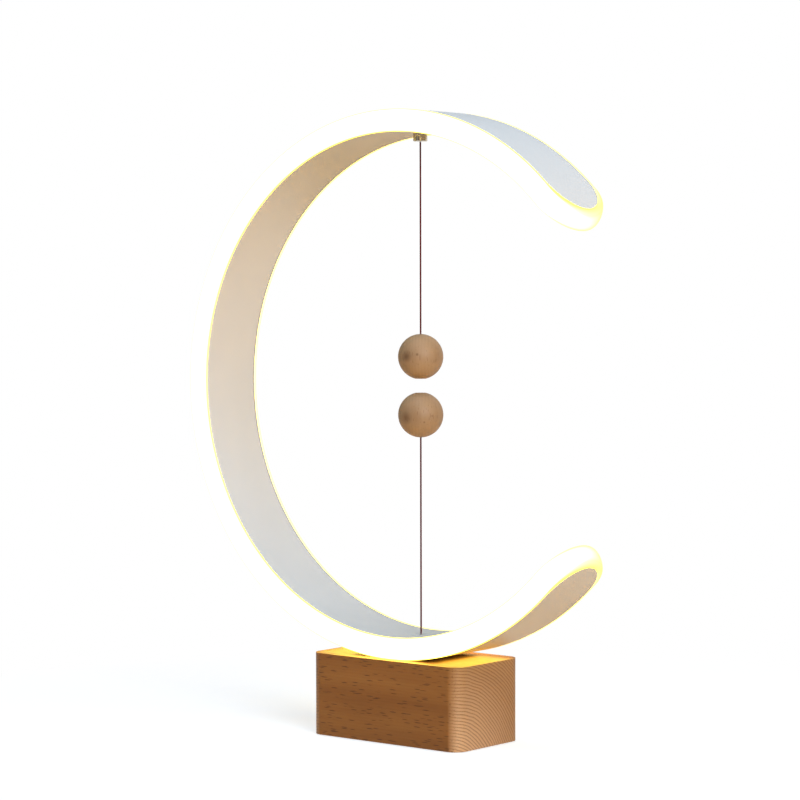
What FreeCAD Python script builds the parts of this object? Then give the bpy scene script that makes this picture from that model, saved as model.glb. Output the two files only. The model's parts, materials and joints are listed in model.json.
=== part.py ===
import FreeCAD, Part
import math
import os
import re

import Sketcher

# Magnetic balance lamp. Millimetres, +Z up. The origin is the centre of the underside, on the
# surface that the lamp stands on. The C lies in the XZ plane and opens towards +X, and the front
# of the lamp faces -Y. The inlet is in the back of the base.

# Driving sizes. Every other length, place and angle is worked out from these.
SIZES = {
    # The C: a wide ribbon bent on a circle, with round tips
    "ring_radius": 173.5,
    "ring_thick": 14.0,
    "ring_width": 50.5,
    "tip_angle": 46.5,
    "tip_reach": 6.4,
    "diffuser_wall": 3.5,
    "diffuser_lip": 2.0,
    "skin_thick": 1.2,
    "core_width": 28.0,
    "core_flange": 1.5,
    "core_web": 2.5,
    "strip_width": 8.0,
    "strip_thick": 0.4,
    "chip_length": 3.5,
    "chip_width": 2.8,
    "chip_height": 0.7,
    "chip_pitch": 16.6,
    # The wooden base and its underside
    "base_width": 120.8,
    "base_depth": 65.2,
    "base_height": 52.6,
    "base_corner": 9.0,
    "base_wall": 10.0,
    "cavity_corner": 8.0,
    "saddle_sink": 0.5,
    "cover_margin": 4.0,
    "cover_thick": 2.4,
    "pad_margin": 3.0,
    "pad_thick": 1.6,
    "pad_proud": 0.6,
    "pad_hole": 3.4,
    # The strings and their holder under the top of the C
    "cord_offset": 5.2,
    "cord_radius": 0.55,
    "cord_hole": 1.1,
    "knot_radius": 1.4,
    "knot_length": 1.6,
    "holder_radius": 4.5,
    "holder_height": 5.2,
    "holder_floor": 1.2,
    "mouth_radius": 0.9,
    "mouth_flare": 0.6,
    # The balls, each with a magnet behind a wooden plug
    "ball_radius": 14.4,
    "upper_height": 17.7,
    "lower_depth": 19.3,
    "plug_thick": 3.0,
    "plug_flat": 0.4,
    "magnet_radius": 5.0,
    "magnet_thick": 5.0,
    "knot_pocket": 2.0,
    "ball_hole": 0.8,
    # The screws that join the C to the base, and the tube between them
    "seat_length": 18.0,
    "seat_shift": 3.0,
    "seat_screw_gap": 20.0,
    "tube_radius": 2.5,
    # The switch
    "pull_travel": 2.0,
    "barrel_radius": 7.5,
    "barrel_length": 18.2,
    "barrel_floor": 2.0,
    "barrel_plate_length": 38.0,
    "barrel_plate_width": 13.6,
    "barrel_plate": 2.5,
    "barrel_screw_gap": 30.0,
    "piston_radius": 5.45,
    "piston_length": 4.0,
    "stem_radius": 2.5,
    "stem_length": 7.5,
    "spring_radius": 3.9,
    "spring_wire": 0.3,
    "spring_turns": 3.0,
    "switch_length": 12.8,
    "switch_width": 5.8,
    "switch_height": 5.5,
    "switch_gap": 4.0,
    "lever_rise": 1.8,
    "lever_lift": 1.2,
    "lever_inset": 2.1,
    "lever_width": 3.4,
    "lever_thick": 0.5,
    "lever_tail": 3.0,
    "lever_eye": 1.0,
    "pin_radius": 0.5,
    "ear_thick": 0.9,
    "button_radius": 1.0,
    "button_place": 6.5,
    "button_depth": 2.4,
    # The electronics
    "board_length": 66.0,
    "board_edge_gap": 1.4,
    "board_thick": 1.6,
    "board_clear": 5.4,
    "board_screw_inset": 4.0,
    "boss_radius": 3.2,
    "socket_place": -18.0,
    "socket_width": 13.0,
    "socket_height": 7.0,
    "socket_flange": 3.5,
    "socket_flange_thick": 1.8,
    "mouth_width": 9.0,
    "mouth_height": 3.2,
    "mouth_depth": 6.0,
    "tongue_thick": 0.7,
    "tail_length": 6.0,
    "lead_radius": 0.8,
    "lead_bend": 6.0,
    "lead_place": -10.0,
    "lead_side": -9.0,
    "lead_hole": 3.0,
    "header_width": 5.0,
    "header_height": 6.0,
    "can_radius": 4.0,
    "can_height": 11.0,
    "coil_radius": 4.5,
    "coil_height": 5.0,
    "chip_side": 5.0,
    "chip_thick": 1.5,
    # Screws
    "small_shank": 1.25,
    "small_head": 2.4,
    "small_head_thick": 1.5,
    "seat_shank": 1.5,
    "seat_head": 2.75,
    "seat_head_thick": 2.0,
    "holder_shank": 2.0,
    "holder_head": 3.5,
    "holder_head_thick": 2.4,
    "thread_length": 6.0,
    # Clearances
    "fit_gap": 0.05,
    "hole_gap": 0.15,
    "joint_gap": 0.3,
    "overcut": 1.0,
}

# Values that follow from the driving sizes
DERIVED = {
    "ring_inner": "ring_radius - ring_thick",
    "ring_middle": "ring_radius - ring_thick / 2",
    "rim_angle": "tip_angle - tip_reach / ring_radius * 180 / pi",
    "nose_angle": "rim_angle - asin((ring_width - ring_thick) / 2 / ring_middle) / 1 deg",
    "ring_centre": "pad_proud + base_height - saddle_sink + ring_radius",
    "skin_width": "ring_width - 2 * diffuser_lip",
    "pocket_width": "ring_width - 2 * diffuser_wall",
    "core_inner": "ring_inner + skin_thick",
    "core_outer": "ring_radius - skin_thick",
    "channel_width": "core_width - 2 * core_flange",
    "web_inner": "(core_inner + core_outer - core_web) / 2",
    "web_outer": "(core_inner + core_outer + core_web) / 2",
    "strip_inner": "(core_inner + core_outer - strip_width) / 2",
    "strip_outer": "(core_inner + core_outer + strip_width) / 2",
    "base_top": "pad_proud + base_height",
    "cavity_width": "base_width - 2 * base_wall",
    "cavity_depth": "base_depth - 2 * base_wall",
    "cavity_top": "barrel_bottom + barrel_length",
    "cover_width": "cavity_width + 2 * cover_margin",
    "cover_depth": "cavity_depth + 2 * cover_margin",
    "cover_corner": "cavity_corner + cover_margin",
    "cover_top": "pad_thick + cover_thick",
    "cover_screw_x": "cavity_width / 2",
    "cover_screw_y": "cavity_depth / 2",
    "pad_width": "cover_width + 2 * pad_margin",
    "pad_depth": "cover_depth + 2 * pad_margin",
    "pad_corner": "cover_corner + pad_margin",
    "floor_level": "ring_centre - sqrt(ring_inner ^ 2 - cord_offset ^ 2)",
    "holder_top": "ring_centre + sqrt(ring_inner ^ 2 - (cord_offset + holder_radius) ^ 2)",
    "mouth_level": "holder_top - holder_height",
    "upper_centre": "ring_centre + upper_height",
    "lower_centre": "ring_centre - lower_depth",
    "pocket_reach": "ball_radius - plug_thick",
    "magnet_end": "pocket_reach - magnet_thick",
    "knot_end": "magnet_end - knot_length - hole_gap",
    "stem_bottom": "lever_top + joint_gap",
    "piston_bottom": "stem_bottom + stem_length",
    "piston_top": "piston_bottom + piston_length",
    "barrel_bottom": "piston_bottom - joint_gap - pull_travel - barrel_floor",
    "spring_top": "cavity_top - barrel_plate",
    "pull_knot_top": "piston_bottom + piston_length / 2 - joint_gap",
    "tube_bottom": "spring_top",
    "tube_top": "ring_centre - core_inner",
    "pivot_level": "switch_top + lever_rise",
    "lever_top": "pivot_level + lever_lift",
    "pivot_x": "cord_offset - switch_gap - switch_length + lever_inset",
    "lever_reach": "cord_offset - pivot_x",
    "button_travel": "pull_travel * button_place / lever_reach",
    "lever_angle": "atan((lever_top - lever_thick / 2 - pivot_level) / lever_reach)",
    "switch_top": "board_top + switch_height",
    "board_bottom": "cover_top + board_clear",
    "board_top": "board_bottom + board_thick",
    "board_width": "cavity_depth - 2 * (socket_flange_thick + board_edge_gap)",
    "board_screw_x": "board_length / 2 - board_screw_inset",
    "board_screw_y": "board_width / 2 - board_screw_inset",
    "socket_level": "board_top + tongue_thick / 2 + mouth_height / 2",
    "wall_inner": "cavity_depth / 2",
    "lead_top": "ring_centre - (web_outer + core_outer) / 2",
    "header_top": "board_top + header_height",
}

doc = FreeCAD.newDocument("magnetic_balance_lamp")
sheet = doc.addObject("Spreadsheet::Sheet", "Sizes")
for row, (name, number) in enumerate(SIZES.items(), start=1):
    sheet.set("A%d" % row, name)
    sheet.set("B%d" % row, str(number))
    sheet.setAlias("B%d" % row, name)
doc.recompute()

TURNS = {
    "z": FreeCAD.Rotation(),
    "x": FreeCAD.Rotation(FreeCAD.Vector(0, 1, 0), 90),
    "y": FreeCAD.Rotation(FreeCAD.Vector(1, 0, 0), -90),
}
UPRIGHT = FreeCAD.Rotation(FreeCAD.Vector(1, 0, 0), 90)

# Where each set of screws stands, seen from above
SEAT_SCREWS = [("0", "seat_screw_gap / 2"), ("0", "-seat_screw_gap / 2")]
GUIDE_SCREWS = [("cord_offset + barrel_screw_gap / 2", "0"), ("cord_offset - barrel_screw_gap / 2", "0")]
COVER_SCREWS = [(f"{a}cover_screw_x", f"{b}cover_screw_y") for a in ("", "-") for b in ("", "-")]
BOARD_SCREWS = [(f"{a}board_screw_x", f"{b}board_screw_y") for a in ("", "-") for b in ("", "-")]
nodes = []


def formula(text):
    """Spell a formula out, down to the cells of the sheet."""
    def spell(match):
        word = match.group()
        if word in DERIVED:
            return "(" + formula(DERIVED[word]) + ")"
        if word in SIZES:
            return "Sizes." + word
        return word
    return re.sub(r"[a-z][a-z_]*", spell, text)


gauge = doc.addObject("App::FeaturePython", "Gauge")
gauge.addProperty("App::PropertyFloat", "Reading")


def value(text):
    """The number that a formula gives with the sheet's present sizes."""
    gauge.setExpression("Reading", formula(text))
    gauge.recompute()
    return gauge.Reading


def bind(thing, **properties):
    for name, text in properties.items():
        thing.setExpression(name, formula(text))


def place(thing, at, axis="z"):
    """Put the thing's own origin at a point, with its own Z turned to an axis."""
    thing.Placement = FreeCAD.Placement(FreeCAD.Vector(), TURNS[axis])
    for letter, text in zip("xyz", at):
        thing.setExpression("Placement.Base." + letter, formula(text))
    return thing


def node(thing, name):
    """Name a finished sub-part."""
    thing.Label = name
    nodes.append(thing)
    return thing


# Plain solids and booleans

def cylinder(name, radius, length, at=("0", "0", "0"), axis="z"):
    """A cylinder that starts at a point and runs along an axis."""
    solid = doc.addObject("Part::Cylinder", name)
    bind(solid, Radius=radius, Height=length)
    return place(solid, at, axis)


def block(name, size, at):
    """A box whose underside is centred on a point."""
    solid = doc.addObject("Part::Box", name)
    length, width, height = size
    bind(solid, Length=length, Width=width, Height=height)
    x, y, z = at
    return place(solid, (f"{x} - ({length}) / 2", f"{y} - ({width}) / 2", z))


def fuse(name, solids):
    joined = doc.addObject("Part::MultiFuse", name)
    joined.Shapes = solids
    joined.Refine = True
    return joined


def common(name, solids):
    shared = doc.addObject("Part::MultiCommon", name)
    shared.Shapes = solids
    return shared


def cut(name, base, tools):
    """The base less one tool or several."""
    result = doc.addObject("Part::Cut", name)
    result.Base = base
    result.Tool = tools[0] if len(tools) == 1 else fuse(name + "_tools", tools)
    return result


def group(name, solids):
    """Several separate solids in one sub-part."""
    together = doc.addObject("Part::Compound", name)
    together.Links = solids
    return together


# Bodies with sketches

def plane_of(body, role):
    return [item for item in body.Origin.OriginFeatures if item.Role == role][0]


def new_sketch(body, name, role):
    sketch = body.newObject("Sketcher::SketchObject", name)
    sketch.AttachmentSupport = [(plane_of(body, role), "")]
    sketch.MapMode = "FlatFace"
    return sketch


def pin_point(sketch, geometry, end, x, y):
    """Hold a point of the sketch at a place given by formulas."""
    for kind, axis, text in (("DistanceX", -2, x), ("DistanceY", -1, y)):
        number = value(text)
        if text == "0":
            sketch.addConstraint(Sketcher.Constraint("PointOnObject", geometry, end, axis))
            continue
        ends = (-1, 1, geometry, end) if number > 0 else (geometry, end, -1, 1)
        index = sketch.addConstraint(Sketcher.Constraint(kind, *ends, abs(number)))
        sign = "" if number > 0 else "-"
        sketch.setExpression("Constraints[%d]" % index, f"{sign}({formula(text)})")


def draw_polygon(sketch, points):
    """A closed outline of straight lines through points given by formulas."""
    places = [FreeCAD.Vector(value(x), value(y), 0) for x, y in points]
    count = len(points)
    for index in range(count):
        sketch.addGeometry(Part.LineSegment(places[index], places[(index + 1) % count]))
    for index in range(count):
        sketch.addConstraint(Sketcher.Constraint("Coincident", index, 2, (index + 1) % count, 1))
    for index, (x, y) in enumerate(points):
        pin_point(sketch, index, 1, x, y)


def draw_circles(sketch, centres, radius):
    """Circles of one radius, for holes."""
    for x, y in centres:
        centre = FreeCAD.Vector(value(x), value(y), 0)
        circle = sketch.addGeometry(Part.Circle(centre, FreeCAD.Vector(0, 0, 1), value(radius)))
        index = sketch.addConstraint(Sketcher.Constraint("Radius", circle, value(radius)))
        sketch.setExpression("Constraints[%d]" % index, formula(radius))
        pin_point(sketch, circle, 3, x, y)


def draw_round_rectangle(sketch, width, height, corner, x="0", y="0"):
    """A rectangle with round corners, centred on a point."""
    half_x, half_y, bend = value(width) / 2, value(height) / 2, value(corner)
    mid_x, mid_y = value(x), value(y)

    def spot(side_x, side_y, inset_x, inset_y):
        return FreeCAD.Vector(mid_x + side_x * (half_x - inset_x), mid_y + side_y * (half_y - inset_y), 0)

    runs = [
        (spot(-1, -1, bend, 0), spot(1, -1, bend, 0)),
        (spot(1, -1, 0, bend), spot(1, 1, 0, bend)),
        (spot(1, 1, bend, 0), spot(-1, 1, bend, 0)),
        (spot(-1, 1, 0, bend), spot(-1, -1, 0, bend)),
    ]
    centres = [spot(1, -1, bend, bend), spot(1, 1, bend, bend), spot(-1, 1, bend, bend),
               spot(-1, -1, bend, bend)]
    for side in range(4):
        sketch.addGeometry(Part.LineSegment(*runs[side]))
    for side, centre in enumerate(centres):
        circle = Part.Circle(centre, FreeCAD.Vector(0, 0, 1), bend)
        start = math.radians(90 * (side - 1))
        sketch.addGeometry(Part.ArcOfCircle(circle, start, start + math.pi / 2))
    for side in range(4):
        sketch.addConstraint(Sketcher.Constraint("Tangent", side, 2, 4 + side, 1))
        sketch.addConstraint(Sketcher.Constraint("Tangent", 4 + side, 2, (side + 1) % 4, 1))
    for side, kind in enumerate(("Horizontal", "Vertical", "Horizontal", "Vertical")):
        sketch.addConstraint(Sketcher.Constraint(kind, side))
    for side in range(1, 4):
        sketch.addConstraint(Sketcher.Constraint("Equal", 4, 4 + side))
    index = sketch.addConstraint(Sketcher.Constraint("Radius", 4, bend))
    sketch.setExpression("Constraints[%d]" % index, formula(corner))
    pin_point(sketch, 4, 3, f"{x} + ({width}) / 2 - {corner}", f"{y} - ({height}) / 2 + {corner}")
    pin_point(sketch, 6, 3, f"{x} - ({width}) / 2 + {corner}", f"{y} + ({height}) / 2 - {corner}")


def pad(body, name, sketch, length):
    feature = body.newObject("PartDesign::Pad", name)
    feature.Profile = sketch
    bind(feature, Length=length)
    return feature


def pocket(body, name, sketch, length, reverse=False, both_ways=False):
    feature = body.newObject("PartDesign::Pocket", name)
    feature.Profile = sketch
    feature.Reversed = reverse
    feature.Midplane = both_ways
    bind(feature, Length=length)
    return feature


def new_body(name, at=("0", "0", "0"), axis="z"):
    body = doc.addObject("PartDesign::Body", name)
    return place(body, at, axis)


def turned(name, profile, at=("0", "0", "0"), axis="z"):
    """A lathe piece: radius and height of each corner of half its section."""
    body = new_body(name, at, axis)
    sketch = new_sketch(body, name + "_section", "XZ_Plane")
    draw_polygon(sketch, profile)
    spin = body.newObject("PartDesign::Revolution", name + "_turned")
    spin.Profile = sketch
    spin.ReferenceAxis = (sketch, ["V_Axis"])
    spin.Angle = 360
    return body


def screw(name, kind, length, at, upside_down=False):
    """A pan head screw with a hexagon in its head, its shank pointing up from the head's seat."""
    shank = cylinder(name + "_shank", f"{kind}_shank", length)
    head = cylinder(name + "_head", f"{kind}_head", f"{kind}_head_thick", ("0", "0", f"-{kind}_head_thick"))
    recess = doc.addObject("Part::Prism", name + "_recess")
    recess.Polygon = 6
    bind(recess, Circumradius=f"{kind}_head / 2", Height=f"{kind}_head_thick / 2 + overcut")
    place(recess, ("0", "0", f"-{kind}_head_thick - overcut"))
    whole = cut(name, fuse(name + "_blank", [shank, head]), [recess])
    place(whole, at)
    if upside_down:
        whole.Placement.Rotation = FreeCAD.Rotation(FreeCAD.Vector(1, 0, 0), 180)
    return whole


# The C. Its pieces are made lying flat, with the C's axis along Z, and stood up at the end.

def annulus(name, inner, outer, width, sweep="360"):
    disc = cylinder(name + "_disc", outer, width, ("0", "0", f"-({width}) / 2"))
    bind(disc, Angle=sweep)
    hole = cylinder(name + "_hole", inner, width, ("0", "0", f"-({width}) / 2"))
    return cut(name, disc, [hole])


def spin_by(thing, angle):
    """Turn a flat piece about the C's axis."""
    turn = FreeCAD.Rotation(FreeCAD.Vector(0, 0, 1), value(angle))
    thing.Placement = FreeCAD.Placement(FreeCAD.Vector(), turn)
    thing.setExpression("Placement.Rotation.Angle", formula(angle))
    return thing


def ribbon(name, inner, outer, width, start="tip_angle"):
    """A ribbon on the C's line between two radii, with half-round tips before its start angle."""
    arc = annulus(name + "_arc", inner, outer, width, f"360 - 2 * {start}")
    spin_by(arc, start)
    ring = annulus(name + "_ring", inner, outer, width)
    reach = f"{outer} - ({inner}) * cos({start})"
    post = cylinder(name + "_post", f"({width}) / 2", reach, (f"({inner}) * cos({start})", "0", "0"), "x")
    upper_tip = spin_by(common(name + "_upper_tip", [ring, post]), start)
    lower_tip = spin_by(common(name + "_lower_tip", [ring, post]), f"360 - {start}")
    return fuse(name, [arc, upper_tip, lower_tip])


def nosed_sector(name):
    """The space that keeps the C as it is between its ends, and rounds these in the side view."""
    width = "ring_width + 2 * overcut"
    sector = annulus(name + "_sector", "ring_inner - overcut", "ring_radius + overcut", width,
                     "360 - 2 * nose_angle")
    spin_by(sector, "nose_angle")
    across = "ring_middle * cos(nose_angle)"
    along = "ring_middle * sin(nose_angle)"
    noses = [cylinder(f"{name}_nose{side}", "ring_thick / 2", width, (across, sign + along, f"-({width}) / 2"))
             for side, sign in enumerate(("", "-"))]
    return fuse(name, [sector] + noses)


def flat_post(name, radius, low, length, x, y="0"):
    """A cylinder that will stand upright in the finished lamp, from one level up."""
    post = cylinder(name, radius, length, (x, f"{low} - ring_centre", f"-({y})"), "y")
    return post


def stand_up(thing, name):
    """Stand a flat piece of the C up on the base."""
    thing.Placement = FreeCAD.Placement(FreeCAD.Vector(), UPRIGHT)
    thing.setExpression("Placement.Base.z", formula("ring_centre"))
    return node(thing, name)


def make_diffuser():
    """The milky channel. Its ends go on past the skins' tips and are round every way."""
    whole = ribbon("diffuser_whole", "ring_inner", "ring_radius", "ring_width", "rim_angle")
    blank = common("diffuser_blank", [whole, nosed_sector("diffuser_ends")])
    middle = ribbon("diffuser_middle", "ring_inner - overcut", "ring_radius + overcut", "pocket_width")
    outer_rebate = ribbon("diffuser_outer_rebate", "core_outer", "ring_radius + overcut", "skin_width")
    inner_rebate = ribbon("diffuser_inner_rebate", "ring_inner - overcut", "core_inner", "skin_width")
    stand_up(cut("diffuser", blank, [middle, outer_rebate, inner_rebate]), "diffuser")


def make_skins():
    """The painted sheets that close the C outside and inside."""
    sheet_blank = ribbon("outer_skin_blank", "core_outer", "ring_radius", "skin_width")
    low = "ring_centre - ring_radius - overcut"
    length = "skin_thick + 2 * overcut"
    holes = [flat_post("outer_skin_tube_hole", "tube_radius + hole_gap", low, length, "cord_offset"),
             flat_post("outer_skin_lead_hole", "lead_hole", low, length, "lead_place", "lead_side")]
    for index, (x, y) in enumerate(SEAT_SCREWS):
        holes.append(flat_post(f"outer_skin_screw_hole{index}", "seat_shank + hole_gap", low, length, x, y))
    stand_up(cut("outer_skin", sheet_blank, holes), "outer_skin")

    inner_blank = ribbon("inner_skin_blank", "ring_inner", "core_inner", "skin_width")
    cord_hole = flat_post("inner_skin_cord_hole", "cord_hole", "tube_top - overcut", length, "cord_offset")
    screw_hole = flat_post("inner_skin_screw_hole", "holder_shank + hole_gap",
                           "ring_centre + ring_inner - overcut", length, "cord_offset")
    stand_up(cut("inner_skin", inner_blank, [cord_hole, screw_hole]), "inner_skin")


def make_core():
    """An H section: two flanges that carry the strip, and a web between them."""
    blank = ribbon("core_blank", "core_inner", "core_outer", "core_width")
    inner_channel = ribbon("core_inner_channel", "core_inner - overcut", "web_inner", "channel_width")
    outer_channel = ribbon("core_outer_channel", "web_outer", "core_outer + overcut", "channel_width")
    length = "core_web + 2 * overcut"
    tube_hole = flat_post("core_tube_hole", "tube_radius + hole_gap",
                          "ring_centre - web_outer - overcut", length, "cord_offset")
    screw_hole = flat_post("core_screw_hole", "holder_shank + hole_gap",
                           "ring_centre + web_inner - overcut", length, "cord_offset")
    lead_hole = cylinder("core_lead_hole", "lead_radius + hole_gap", "core_flange + 2 * overcut",
                         ("lead_place", "lead_top - ring_centre", "-(core_width / 2) - overcut"))
    hollows = [inner_channel, outer_channel, tube_hole, screw_hole, lead_hole]
    stand_up(cut("core", blank, hollows), "ring_core")


def make_strip():
    """One loop of flexible board round the core's edges and ends."""
    outside = ribbon("strip_outside", "strip_inner", "strip_outer", "core_width + 2 * strip_thick")
    inside = ribbon("strip_inside", "strip_inner - overcut", "strip_outer + overcut", "core_width")
    stand_up(cut("strip", outside, [inside]), "led_strip")


def make_chips():
    """Lights along the front and back of the strip and round its ends."""
    middle = value("(core_inner + core_outer) / 2")
    face = value("core_width / 2 + strip_thick")
    tip = value("tip_angle")
    length, width, height = value("chip_length"), value("chip_width"), value("chip_height")
    chip = Part.makeBox(width, length, height, FreeCAD.Vector(middle - width / 2, -length / 2, face))
    spread = 360 - 2 * tip
    count = int(math.radians(spread) * middle / value("chip_pitch"))
    axis = FreeCAD.Vector(0, 0, 1)
    radial = FreeCAD.Vector(1, 0, 0)
    chips = []
    for index in range(count):
        along = FreeCAD.Rotation(axis, tip + spread * (index + 0.5) / count)
        for side in (0, 180):
            chips.append(chip.transformed(FreeCAD.Placement(
                FreeCAD.Vector(), along * FreeCAD.Rotation(radial, side)).toMatrix(), True))
    for end, towards in ((tip, 1), (-tip, -1)):
        for lean in (45, 90, 135):
            turn = FreeCAD.Rotation(axis, end) * FreeCAD.Rotation(radial, towards * lean)
            chips.append(chip.transformed(FreeCAD.Placement(FreeCAD.Vector(), turn).toMatrix(), True))
    feature = doc.addObject("Part::Feature", "chips")
    feature.Shape = Part.makeCompound(chips)
    stand_up(feature, "led_chips")


def make_seat_block():
    """The tapped bar in the outer channel that the base's screws pull down."""
    ring = annulus("seat_ring", "web_outer", "core_outer", "channel_width - 2 * fit_gap")
    bar = doc.addObject("Part::Box", "seat_bar")
    bind(bar, Length="seat_length", Width="ring_thick", Height="channel_width")
    place(bar, ("seat_shift - seat_length / 2", "-ring_radius", "-(channel_width / 2)"))
    low = "ring_centre - ring_radius"
    holes = [flat_post("seat_tube_hole", "tube_radius + hole_gap", low, "ring_thick", "cord_offset")]
    for index, (x, y) in enumerate(SEAT_SCREWS):
        holes.append(flat_post(f"seat_screw_hole{index}", "seat_shank + fit_gap", low, "ring_thick", x, y))
    stand_up(cut("seat", common("seat_blank", [ring, bar]), holes), "seat_block")


# The wooden base

def make_base():
    body = new_body("base", ("0", "0", "pad_proud"))
    outline = new_sketch(body, "base_outline", "XY_Plane")
    draw_round_rectangle(outline, "base_width", "base_depth", "base_corner")
    pad(body, "base_blank", outline, "base_height")

    hollows = (
        ("pad_recess", "pad_width", "pad_depth", "pad_corner", "pad_thick - pad_proud"),
        ("cover_rebate", "cover_width", "cover_depth", "cover_corner", "cover_top - pad_proud"),
        ("cavity", "cavity_width", "cavity_depth", "cavity_corner", "cavity_top - pad_proud"),
    )
    for name, width, depth, corner, height in hollows:
        shape = new_sketch(body, name + "_outline", "XY_Plane")
        draw_round_rectangle(shape, f"{width} + 2 * fit_gap", f"{depth} + 2 * fit_gap",
                             f"({corner} + fit_gap)")
        pocket(body, name, shape, height, reverse=True)

    saddle = new_sketch(body, "saddle_outline", "XZ_Plane")
    draw_circles(saddle, [("0", "ring_centre - pad_proud")], "ring_radius")
    pocket(body, "saddle", saddle, "ring_width + 2 * joint_gap", both_ways=True)

    bores = (
        ("tube_bore", [("cord_offset", "0")], "tube_radius + hole_gap", "base_height + overcut"),
        ("lead_bore", [("lead_place", "lead_side")], "lead_hole", "base_height + overcut"),
        ("seat_screw_bores", SEAT_SCREWS, "seat_shank + hole_gap", "base_height + overcut"),
        ("guide_screw_bores", GUIDE_SCREWS, "small_shank + fit_gap",
         "cavity_top - pad_proud + thread_length + hole_gap"),
        ("cover_screw_bores", COVER_SCREWS, "small_shank + fit_gap",
         "cover_top - pad_proud + thread_length + hole_gap"),
    )
    for name, centres, radius, height in bores:
        holes = new_sketch(body, name + "_outline", "XY_Plane")
        draw_circles(holes, centres, radius)
        pocket(body, name, holes, height, reverse=True)

    window = new_sketch(body, "socket_window_outline", "XZ_Plane")
    draw_round_rectangle(window, "socket_width + 2 * fit_gap", "socket_height + 2 * fit_gap",
                         "(socket_height / 4)", "socket_place", "socket_level - pad_proud")
    pocket(body, "socket_window", window, "base_depth")
    node(body, "base_block")


def make_cover():
    """The plastic plate that closes the base, with four bosses for the board."""
    body = new_body("cover", ("0", "0", "pad_thick"))
    outline = new_sketch(body, "cover_outline", "XY_Plane")
    draw_round_rectangle(outline, "cover_width", "cover_depth", "cover_corner")
    pad(body, "cover_plate", outline, "cover_thick")
    bosses = new_sketch(body, "boss_outline", "XY_Plane")
    draw_circles(bosses, BOARD_SCREWS, "boss_radius")
    pad(body, "bosses", bosses, "cover_thick + board_clear")
    pilots = new_sketch(body, "pilot_outline", "XY_Plane")
    draw_circles(pilots, BOARD_SCREWS, "small_shank + fit_gap")
    pocket(body, "pilots", pilots, "cover_thick + board_clear + overcut", reverse=True)
    holes = new_sketch(body, "cover_hole_outline", "XY_Plane")
    draw_circles(holes, COVER_SCREWS, "small_shank + hole_gap")
    pocket(body, "cover_holes", holes, "cover_thick + overcut", reverse=True)
    node(body, "base_cover")


def make_pad():
    """The thin rubber sheet that the lamp stands on, with holes for the cover's screws."""
    body = new_body("pad")
    outline = new_sketch(body, "pad_outline", "XY_Plane")
    draw_round_rectangle(outline, "pad_width", "pad_depth", "pad_corner")
    pad(body, "pad_sheet", outline, "pad_thick")
    holes = new_sketch(body, "pad_hole_outline", "XY_Plane")
    draw_circles(holes, COVER_SCREWS, "pad_hole")
    pocket(body, "pad_holes", holes, "pad_thick + overcut", reverse=True)
    node(body, "base_pad")


# Screws

def make_screws():
    seat_reach = "ring_centre - web_outer - cavity_top - joint_gap"
    sets = (
        ("cover_screws", "small", COVER_SCREWS, "pad_thick", "cover_thick + thread_length", False),
        ("board_screws", "small", BOARD_SCREWS, "board_top", "board_thick + thread_length", True),
        ("guide_screws", "small", GUIDE_SCREWS, "spring_top", "barrel_plate + thread_length", False),
        ("ring_screws", "seat", SEAT_SCREWS, "cavity_top", seat_reach, False),
    )
    for name, kind, centres, seat, length, upside_down in sets:
        screws = [screw(f"{name}_{index}", kind, length, (x, y, seat), upside_down)
                  for index, (x, y) in enumerate(centres)]
        node(group(name + "_group", screws), name)

    reach = "ring_centre + web_outer - mouth_level - holder_floor - knot_length - 2 * joint_gap"
    node(screw("holder_screw_whole", "holder", reach,
               ("cord_offset", "0", "ring_centre + web_outer"), upside_down=True), "holder_screw")


# The strings and the balls

def make_holder():
    profile = [
        ("mouth_radius + mouth_flare", "0"),
        ("holder_radius - mouth_flare / 2", "0"),
        ("holder_radius", "mouth_flare / 2"),
        ("holder_radius", "holder_height"),
        ("holder_shank + fit_gap", "holder_height"),
        ("holder_shank + fit_gap", "holder_floor"),
        ("mouth_radius", "holder_floor"),
        ("mouth_radius", "mouth_flare"),
    ]
    node(turned("holder", profile, ("cord_offset", "0", "mouth_level")), "cord_holder")


def make_upper_knot():
    """The string's end in the holder: a knot, and the string down to the holder's mouth."""
    profile = [
        ("0", "0"),
        ("cord_radius", "0"),
        ("cord_radius", "holder_floor + joint_gap"),
        ("knot_radius", "holder_floor + joint_gap"),
        ("knot_radius", "holder_floor + joint_gap + knot_length"),
        ("0", "holder_floor + joint_gap + knot_length"),
    ]
    node(turned("holder_knot", profile, ("cord_offset", "0", "mouth_level")), "upper_knot")


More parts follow.
